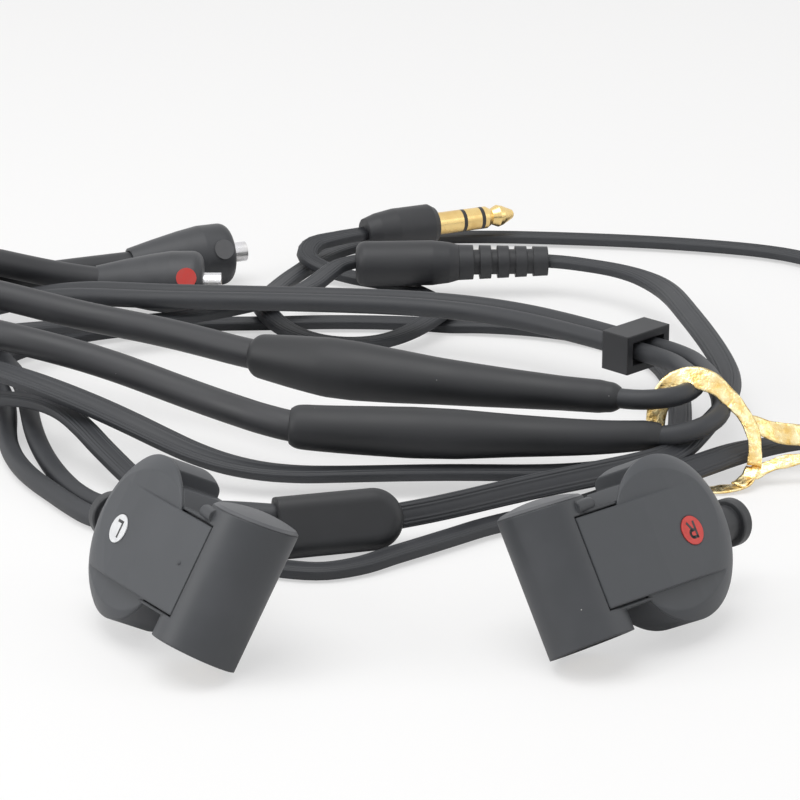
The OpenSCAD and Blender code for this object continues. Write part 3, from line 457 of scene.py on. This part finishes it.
tie_band = foil_strip("tie_band", ring_route,
                      [(0, 1.8), (0.3, 2.6), (0.5, 3), (0.7, 2.9), (0.84, 2), (1, 1.8)], 1.3, 0.32)
upper_tail = foil_strip("tie_upper_tail", upper_tail_route, [(0, 2), (0.4, 2.6), (1, 3.2)], 4.1)
lower_tail = foil_strip("tie_lower_tail", lower_tail_route,
                        [(0, 2), (0.3, 1.8), (0.6, 1.6), (1, 1.6)], 7.7, 0.7)
for piece in (tie_band, upper_tail, lower_tail):
    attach(piece, "cable")
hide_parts("twist_tie")
print("tie faces:", sum(len(piece.data.polygons) for piece in (tie_band, upper_tail, lower_tail)))

# %% [markdown]
# Each side mark carries one printed letter, L on the left and R on the right, and the left strap has a
# small raised dot that a finger can find. Letters are flat outlines of a few corners, in millimetres
# on the face of the disc. They are placed in the earpiece's own frame, then turned as it lies.

# %% Letters and the finger dot
LETTER_STROKE = 0.34
MARK_AT, MARK_TILT = (-0.8, 2.275), math.radians(4)
DOT_AT, DOT_SLOPE = (12, 0.13, 0.006), math.radians(12)


def letter_bars(strokes, half=LETTER_STROKE / 2):
    """Flat bars of one letter, each from one corner to another, as (points, faces)."""
    points, faces = [], []
    for (x0, y0), (x1, y1) in strokes:
        ahead = Vector((x1 - x0, y1 - y0)).normalized() * half
        wide = Vector((-ahead.y, ahead.x))
        start = len(points)
        for x, y, a, w in ((x0, y0, -1, -1), (x1, y1, 1, -1), (x1, y1, 1, 1), (x0, y0, -1, 1)):
            points.append((x + a * ahead.x + w * wide.x, y + a * ahead.y + w * wide.y))
        faces.append(tuple(range(start, start + 4)))
    return points, faces


bowl = [(0.1 + 0.42 * math.cos(a), 0.42 + 0.42 * math.sin(a))
        for a in np.linspace(-math.pi / 2, math.pi / 2, 7)]
letters = {"left": [((-0.45, 0.85), (-0.45, -0.85)), ((-0.45, -0.85), (0.5, -0.85))],
           "right": [((-0.5, 0.85), (-0.5, -0.85)), ((-0.5, 0.84), (0.1, 0.84)), ((-0.5, 0), (0.1, 0)),
                     ((0, 0), (0.52, -0.85))] + list(zip(bowl[:-1], bowl[1:]))}
ear_place = {"left": ((-32.16, 0.4, 11.38), (58.85, -4.9, -63.2), 1),
             "right": ((28.84, 0.3, 11.373), (57.4, 5.4, 48.8), -1)}


def in_earpiece(side, x, y, z):
    """A point of an earpiece's own frame, in metres, at its place in the set."""
    at, turns, mirror = ear_place[side]
    turned = Euler([math.radians(t) for t in turns], "XYZ").to_matrix()
    return (Vector(at) + turned @ Vector((x * mirror, y, z))) * MM


def on_mark(side, across, along):
    """A point on the face of the side mark: across to the letter's right, along to its top."""
    x = -across if side == "left" else across
    return in_earpiece(side, MARK_AT[0] + x * math.cos(MARK_TILT), -along,
                       MARK_AT[1] - x * math.sin(MARK_TILT))


def finger_dot(radius=0.3, height=0.2, rings=5, count=16):
    """A low dome on the sloping part of the left strap."""
    points = []
    for turn in np.linspace(0, math.pi / 2, rings):
        for a in np.linspace(0, 2 * math.pi, count, endpoint=False):
            x, y, z = (radius * math.cos(turn) * math.cos(a), radius * math.cos(turn) * math.sin(a),
                       height * math.sin(turn) - 0.02)
            points.append(in_earpiece("left", DOT_AT[0] + x * math.cos(DOT_SLOPE) + z * math.sin(DOT_SLOPE),
                                      DOT_AT[1] + y,
                                      DOT_AT[2] - x * math.sin(DOT_SLOPE) + z * math.cos(DOT_SLOPE)))
    faces = tube_faces(count, rings)
    dot = new_piece("left_finger_dot", points, faces, smooth=len(faces))
    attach(dot, "left_earpiece")
    return dot


left_dot = finger_dot()
for side, strokes in letters.items():
    points, faces = letter_bars(strokes)
    letter = new_piece(side + "_letter", [on_mark(side, x, y) for x, y in points], faces)
    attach(letter, side + "_earpiece")
    "mark_white" if side == "left" else "mark_red"
    print(letter.name + ":", len(faces), "strokes")

# %% [markdown]
# A material is a small sum: noise, a few masks and a base colour. Written as Python, a sum on a socket
# adds the Math nodes by itself, so the recipe stays readable. Only colour, roughness, metal and the
# surface normal are allowed to change over a surface.

# %% Sums on sockets
class Channel:
    """A shader socket that Python can do sums with."""

    def __init__(self, finish, socket):
        self.finish, self.socket = finish, socket

    def __add__(self, other): return self.finish.math("ADD", self, other)
    def __radd__(self, other): return self.finish.math("ADD", other, self)
    def __sub__(self, other): return self.finish.math("SUBTRACT", self, other)
    def __rsub__(self, other): return self.finish.math("SUBTRACT", other, self)
    def __mul__(self, other): return self.finish.math("MULTIPLY", self, other)
    def __rmul__(self, other): return self.finish.math("MULTIPLY", other, self)
    def __gt__(self, other): return self.finish.math("GREATER_THAN", self, other)
    def __lt__(self, other): return self.finish.math("LESS_THAN", self, other)

    def ramp(self, low, high):
        """0 below low, 1 above high, and a smooth step between."""
        return self.finish.node("ShaderNodeMapRange", {"interpolation_type": "SMOOTHSTEP"},
                                {"Value": self, "From Min": low, "From Max": high})


class Finish:
    """A material with one Principled shader, and helpers that add nodes in front of it."""

    def __init__(self, name, roughness=0.5, metallic=0.0, **fixed):
        self.material = bpy.data.materials.new(name)
        self.material.use_nodes = True
        self.tree = self.material.node_tree
        self.shader = self.tree.nodes["Principled BSDF"]
        self.feed("Roughness", roughness)
        self.feed("Metallic", metallic)
        for socket, value in fixed.items():
            self.feed(socket.replace("_", " "), value)

    def feed(self, socket, value):
        self.put(self.shader.inputs[socket], value)

    def put(self, socket, value):
        if isinstance(value, Channel):
            self.tree.links.new(value.socket, socket)
        elif socket.type == "RGBA" and len(value) == 3:
            socket.default_value = (*value, 1)
        else:
            socket.default_value = value

    def node(self, kind, settings, sockets, output=0):
        """Adds a node: its settings first, then the values or links of its sockets."""
        made = self.tree.nodes.new(kind)
        for key, value in settings.items():
            setattr(made, key, value)
        for key, value in sockets.items():
            self.put(made.inputs[key], value)
        return Channel(self, made.outputs[output])

    def math(self, operation, first, second):
        kinds = [v.socket.type for v in (first, second) if isinstance(v, Channel)]
        if "VECTOR" in kinds:
            return self.node("ShaderNodeVectorMath", {"operation": operation}, {0: first, 1: second})
        return self.node("ShaderNodeMath", {"operation": operation}, {0: first, 1: second})

    def place(self):
        return self.node("ShaderNodeTexCoord", {}, {}, "Object")

    def noise(self, size, detail=2.0, at=None):
        """Noise whose features are about size millimetres across, from 0 to 1."""
        return self.node("ShaderNodeTexNoise", {}, {"Vector": at or self.place(), "Scale": 1 / (size * MM),
                                                    "Detail": detail}, "Fac")

    def specks(self, spacing, size, share):
        """Small scattered dots: spacing and size in millimetres, and the share of cells that has one."""
        cell = {"Vector": self.place(), "Scale": 1 / (spacing * MM)}
        far = self.node("ShaderNodeTexVoronoi", {}, cell, "Distance")
        chance = self.node("ShaderNodeTexVoronoi", {}, cell, "Color")
        pick = self.node("ShaderNodeSeparateColor", {}, {"Color": chance}, "Red")
        return (far < size / spacing) * (pick < share)

    def mix(self, share, first, second):
        """A colour between two others."""
        return self.node("ShaderNodeMix", {"data_type": "RGBA"}, {0: share, 6: first, 7: second}, 2)

    def relief(self, height, depth, edge=0.0):
        """Bumps of the given depth in millimetres; edge rounds the hard edges by that radius."""
        sockets = {"Height": height, "Distance": depth * MM, "Strength": 1.0}
        if edge:
            sockets["Normal"] = self.node("ShaderNodeBevel", {"samples": 6}, {"Radius": edge * MM})
        self.feed("Normal", self.node("ShaderNodeBump", {}, sockets))


print("shader helpers ready")

# %% [markdown]
# The drums, covers, straps and barrels are moulded in dark grey plastic with a satin coat: nearly
# black, a little bluish, with a very fine orange-peel surface. The coat is a touch lighter where
# fingers have rubbed it, and a few pale dust grains lie on it. Its hard edges are rounded in the
# shader, because a radius of a few tenths of a millimetre catches the light but hardly changes the shape.

# %% Satin housing finish
def satin_plastic(name, dark, light, roughness=0.46, edge=0.12, dust=0.06, grain=0.09):
    """Coated plastic between two close greys, with fine grain, faint rubbing and a few dust grains."""
    finish = Finish(name)
    cloud = finish.noise(7.0, 3.0).ramp(0.35, 0.7)
    dots = finish.specks(1.6, 0.075, dust)
    finish.feed("Base Color", finish.mix(dots, finish.mix(cloud, dark, light), (0.42, 0.41, 0.39)))
    finish.feed("Roughness", roughness + 0.07 * cloud + 0.2 * dots)
    finish.relief(finish.noise(grain, 2.0) + 6.0 * dots, 0.004, edge)
    return finish.material


housing_satin = satin_plastic("housing_satin", (0.04, 0.043, 0.048), (0.05, 0.053, 0.059), edge=0.35)
cover_satin = satin_plastic("cover_satin", (0.046, 0.050, 0.056), (0.056, 0.060, 0.067), edge=0.42)
cap_satin = satin_plastic("cap_satin", (0.085, 0.088, 0.095), (0.10, 0.104, 0.11), edge=0.1, dust=0.09)
nozzle_satin = satin_plastic("nozzle_satin", (0.026, 0.027, 0.030), (0.032, 0.034, 0.037), edge=0.1)
splitter_satin = satin_plastic("splitter_satin", (0.014, 0.015, 0.017), (0.02, 0.021, 0.024), 0.5, 0.5,
                               dust=0.1, grain=0.2)
slider_satin = satin_plastic("slider_satin", (0.018, 0.019, 0.022), (0.026, 0.027, 0.03), 0.5, 0.35)
boot_satin = satin_plastic("boot_satin", (0.03, 0.032, 0.036), (0.045, 0.047, 0.052), 0.42, 0.3)
plug_satin = satin_plastic("plug_satin", (0.02, 0.021, 0.024), (0.028, 0.029, 0.032), 0.48, 0.3)

# %% [markdown]
# The cords, hangers and sleeves are soft plastics. They have no hard edges, a slightly duller shine and
# long faint flow marks. Dust keeps to them more than to the coated housings.

# %% Soft cord finishes
def soft_cord(name, dark, light, roughness=0.5, dust=0.08):
    """Soft cord jacket: fine pores, long faint shading and some dust."""
    finish = Finish(name)
    cloud = finish.noise(9.0, 4.0).ramp(0.3, 0.75)
    pores = finish.noise(0.16, 3.0)
    dots = finish.specks(2.2, 0.06, dust)
    finish.feed("Base Color", finish.mix(dots, finish.mix(cloud, dark, light), (0.3, 0.3, 0.3)))
    finish.feed("Roughness", roughness + 0.1 * cloud)
    finish.relief(pores + 4.0 * dots, 0.006)
    return finish.material


cord_jacket = soft_cord("cord_jacket", (0.024, 0.026, 0.03), (0.034, 0.036, 0.041))
hanger_jacket = soft_cord("hanger_jacket", (0.022, 0.023, 0.026), (0.033, 0.034, 0.038), 0.44)
sleeve_jacket = soft_cord("sleeve_jacket", (0.014, 0.015, 0.017), (0.022, 0.023, 0.026), 0.5, 0.14)

# %% [markdown]
# The tie is gold-coloured foil, creased many times. Its metal is smooth, so all its life comes from the
# creases: two sizes of noise bend the surface, and the same crease noise paints its colour, darker and
# redder in the folds as painted shade and paler on the raised creases as painted highlight.

# %% Gold foil and plated metals
def crinkled_foil():
    finish = Finish("gold_foil", 0.28, 1.0)
    creases_and_painted_light = finish.noise(1.1, 3.0)
    fine = finish.noise(0.35, 2.0)
    # Painted light: the colour follows the crease height, darker and redder in the folds as painted shade,
    # paler on the raised creases as painted highlight.
    finish.feed("Base Color", finish.mix(creases_and_painted_light.ramp(0.3, 0.7), (0.86, 0.58, 0.2), (0.97, 0.84, 0.5)))
    finish.feed("Roughness", 0.2 + 0.2 * fine)
    finish.relief(creases_and_painted_light + 0.3 * fine, 0.22)
    return finish.material


def plated(name, colour, worn, roughness=0.22, size=0.5):
    """Plated metal with fine turning marks and faint tarnish."""
    finish = Finish(name, roughness, 1.0)
    tarnish = finish.noise(size * 6, 3.0).ramp(0.4, 0.75)
    finish.feed("Base Color", finish.mix(tarnish, colour, worn))
    finish.feed("Roughness", roughness + 0.15 * tarnish)
    finish.relief(finish.noise(size * 0.2, 2.0), 0.003)
    return finish.material


gold_foil = crinkled_foil()
contact_gold = plated("contact_gold", (0.86, 0.64, 0.28), (0.72, 0.5, 0.2))
collar_nickel = plated("collar_nickel", (0.72, 0.72, 0.74), (0.6, 0.59, 0.58))
driver_steel = plated("driver_steel", (0.56, 0.57, 0.58), (0.42, 0.42, 0.43), 0.34)
magnet_nickel = plated("magnet_nickel", (0.62, 0.62, 0.64), (0.5, 0.5, 0.5), 0.18)
coil_wire = plated("coil_wire", (0.7, 0.33, 0.17), (0.5, 0.22, 0.1), 0.3, 0.2)

# %% [markdown]
# The side marks are small printed discs, nearly white on the left and red on the right, and the dots
# on the connectors are one piece in two colours, told apart by how far back they lie. The inner pieces
# are out of sight, but they get real finishes too: woven steel in the nozzle, a pale film for the
# cone, a green board and moulded insulators.

# %% Printed and inner finishes
def printed(name, colour, faded, roughness=0.35):
    """Ink or moulded colour that has faded in small clouds, with tiny pinholes."""
    finish = Finish(name, roughness)
    cloud = finish.noise(0.8, 3.0).ramp(0.35, 0.75)
    finish.feed("Base Color", finish.mix(cloud, colour, faded))
    finish.feed("Roughness", roughness + 0.12 * cloud)
    finish.relief(finish.noise(0.08, 2.0), 0.003)
    return finish.material


def paired(name, left, right, node):
    """One printed colour on the left connector's dot, further back, and another on the right one's."""
    finish = Finish(name, 0.35)
    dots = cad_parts[node].data.vertices
    middle = sum(v.co.y for v in dots) / len(dots)
    along = finish.node("ShaderNodeSeparateXYZ", {}, {"Vector": finish.place()}, "Y")
    cloud = finish.noise(0.8, 3.0).ramp(0.35, 0.75)
    colour = finish.mix(along > middle, right, left)
    finish.feed("Base Color", finish.mix(0.12 * cloud, colour, (0.16, 0.15, 0.15)))
    finish.feed("Roughness", 0.35 + 0.12 * cloud)
    finish.relief(finish.noise(0.08, 2.0), 0.003)
    return finish.material


def woven_screen():
    """Fine woven steel: two sets of wires across each other."""
    finish = Finish("woven_screen", 0.35, 1.0)
    place = finish.place()
    wires = [finish.node("ShaderNodeTexWave", {"bands_direction": way},
                         {"Vector": place, "Scale": 900.0, "Distortion": 0.0}, "Fac") for way in "XZ"]
    weave = wires[0] * wires[1]
    finish.feed("Base Color", finish.mix(weave, (0.08, 0.08, 0.09), (0.6, 0.6, 0.62)))
    finish.feed("Roughness", 0.5 - 0.2 * weave)
    finish.relief(weave, 0.03)
    return finish.material


mark_white = printed("mark_white", (0.74, 0.75, 0.76), (0.66, 0.67, 0.68))
mark_red = printed("mark_red", (0.62, 0.045, 0.035), (0.54, 0.04, 0.03))
letter_ink = printed("letter_ink", (0.03, 0.03, 0.032), (0.05, 0.05, 0.05), 0.5)
pair_marks = paired("pair_marks", (0.1, 0.102, 0.107), (0.6, 0.045, 0.035), "connector_marks")
screen_mesh = woven_screen()
cone_film = printed("cone_film", (0.72, 0.7, 0.64), (0.64, 0.62, 0.56), 0.3)
board_mask = printed("board_mask", (0.02, 0.16, 0.05), (0.03, 0.2, 0.07), 0.3)
white_insulator = printed("white_insulator", (0.78, 0.78, 0.76), (0.7, 0.7, 0.68), 0.4)
black_insulator = printed("black_insulator", (0.02, 0.02, 0.02), (0.03, 0.03, 0.03), 0.4)
gasket_foam = soft_cord("gasket_foam", (0.02, 0.02, 0.02), (0.04, 0.04, 0.04), 0.8)

# %% [markdown]
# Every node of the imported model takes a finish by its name. Left and right pieces share one entry: the
# name is looked up first as it is, and then without its side. The new pieces are painted one by one.

# %% Every piece gets its finish
finish_of = {
    "rear_housing": housing_satin, "front_cover": cover_satin, "barrel_cap": cap_satin,
    "nozzle_screen": screen_mesh, "nozzle": nozzle_satin, "driver_frame": driver_steel,
    "driver_gasket": gasket_foam, "magnet": magnet_nickel, "yoke": driver_steel, "voice_coil": coil_wire,
    "diaphragm": cone_film, "terminal_board": board_mask, "socket_shell": contact_gold,
    "socket_insulator": white_insulator, "socket_contact": contact_gold, "connector_boot": boot_satin,
    "connector_collar": collar_nickel, "connector_insulator": white_insulator,
    "connector_pin": contact_gold, "connector_marks": pair_marks, "splitter_lower_shell": splitter_satin,
    "splitter_upper_shell": splitter_satin, "cord_slider": slider_satin, "joint_body": plug_satin,
    "joint_relief": plug_satin, "plug_body": plug_satin, "plug_tip": contact_gold, "plug_ring": contact_gold,
    "plug_sleeve": contact_gold, "plug_insulators": black_insulator, "left_side_mark": mark_white,
    "right_side_mark": mark_red}


def paint(piece, material):
    piece.data.materials.clear()
    piece.data.materials.append(material)


for node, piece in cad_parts.items():
    if node in finish_of:
        paint(piece, finish_of[node])
    elif node.split("_", 1)[1] in finish_of:
        paint(piece, finish_of[node.split("_", 1)[1]])
for piece, material in ((main_cord, cord_jacket), (left_branch, cord_jacket), (right_branch, cord_jacket),
                        (left_hanger, hanger_jacket), (right_hanger, hanger_jacket),
                        (left_sleeve, sleeve_jacket), (right_sleeve, sleeve_jacket),
                        (tie_band, gold_foil), (upper_tail, gold_foil), (lower_tail, gold_foil)):
    paint(piece, material)
paint(left_dot, cover_satin)
for side in letters:
    paint(bpy.data.objects[side + "_letter"], letter_ink)
print("finishes:", len(bpy.data.materials))

# %% [markdown]
# The set lies on a plain pale table in soft studio light. One large lamp hangs above and a little in
# front, a weaker one stands at each side, and the white room around fills the shadows. The table fades
# into the white of the room with distance, so that no edge shows. Seen directly it has a share of its
# own white as well, which lifts the tone of the table but keeps the shadows on it.

# %% Table
TABLE_HALF = 3.0
FADE_FROM, FADE_TO = 0.16, 0.6
OWN_WHITE = 0.55
table = new_piece("table", [(x * TABLE_HALF, y * TABLE_HALF, 0) for x, y in
                            ((-1, -1), (1, -1), (1, 1), (-1, 1))], [(0, 1, 2, 3)])
table_finish = Finish("table_white", 0.7)
table_finish.feed("Base Color", (0.93, 0.925, 0.92))
tree = table_finish.tree
far = table_finish.node("ShaderNodeVectorMath", {"operation": "LENGTH"}, {0: table_finish.place()}, 1)
glow = table_finish.node("ShaderNodeEmission", {}, {"Color": (1, 1, 1, 1), "Strength": 1.0})
blend = tree.nodes.new("ShaderNodeMixShader")
looked_at = table_finish.node("ShaderNodeLightPath", {}, {}, "Is Camera Ray")
share = table_finish.math("MAXIMUM", far.ramp(FADE_FROM, FADE_TO), OWN_WHITE * looked_at)
tree.links.new(share.socket, blend.inputs[0])
tree.links.new(table_finish.shader.outputs[0], blend.inputs[1])
tree.links.new(glow.socket, blend.inputs[2])
tree.links.new(blend.outputs[0], tree.nodes["Material Output"].inputs["Surface"])
paint(table, table_finish.material)

# %% [markdown]
# The room gives less light than it seems to: rays that are looked along, or reflected in a surface,
# see plain white, and the others get a weaker light, so that the lamps can still shape the pieces.

# %% Light
ROOM_LIGHT = 0.42


def lamp(name, place, aim, size, watts):
    data = bpy.data.lights.new(name, "AREA")
    data.shape, data.size, data.energy = "SQUARE", size, watts
    made = bpy.data.objects.new(name, data)
    made.location = place
    made.rotation_euler = (Vector(aim) - Vector(place)).to_track_quat("-Z", "Y").to_euler()
    scene.collection.objects.link(made)
    return made


lamps = [lamp("top_lamp", (-0.1, -0.05, 0.62), (0, 0.06, 0), size=0.5, watts=2.3),
         lamp("left_lamp", (-0.6, -0.1, 0.32), (0, 0.04, 0), size=0.35, watts=1.3),
         lamp("right_lamp", (0.6, -0.05, 0.3), (0, 0.04, 0), size=0.35, watts=0.4)]
world = bpy.data.worlds.new("room")
scene.world = world
world.use_nodes = True
room = world.node_tree
room.nodes["Background"].inputs["Color"].default_value = (1, 1, 1, 1)
rays = room.nodes.new("ShaderNodeLightPath")
seen = room.nodes.new("ShaderNodeMath")
seen.operation = "MAXIMUM"
room.links.new(rays.outputs["Is Camera Ray"], seen.inputs[0])
room.links.new(rays.outputs["Is Glossy Ray"], seen.inputs[1])
strength = room.nodes.new("ShaderNodeMapRange")
strength.inputs["To Min"].default_value = ROOM_LIGHT
strength.inputs["To Max"].default_value = 1.0
room.links.new(seen.outputs[0], strength.inputs["Value"])
room.links.new(strength.outputs["Result"], room.nodes["Background"].inputs["Strength"])
scene.view_settings.view_transform = "Standard"
print("lamps:", [one.name for one in lamps])
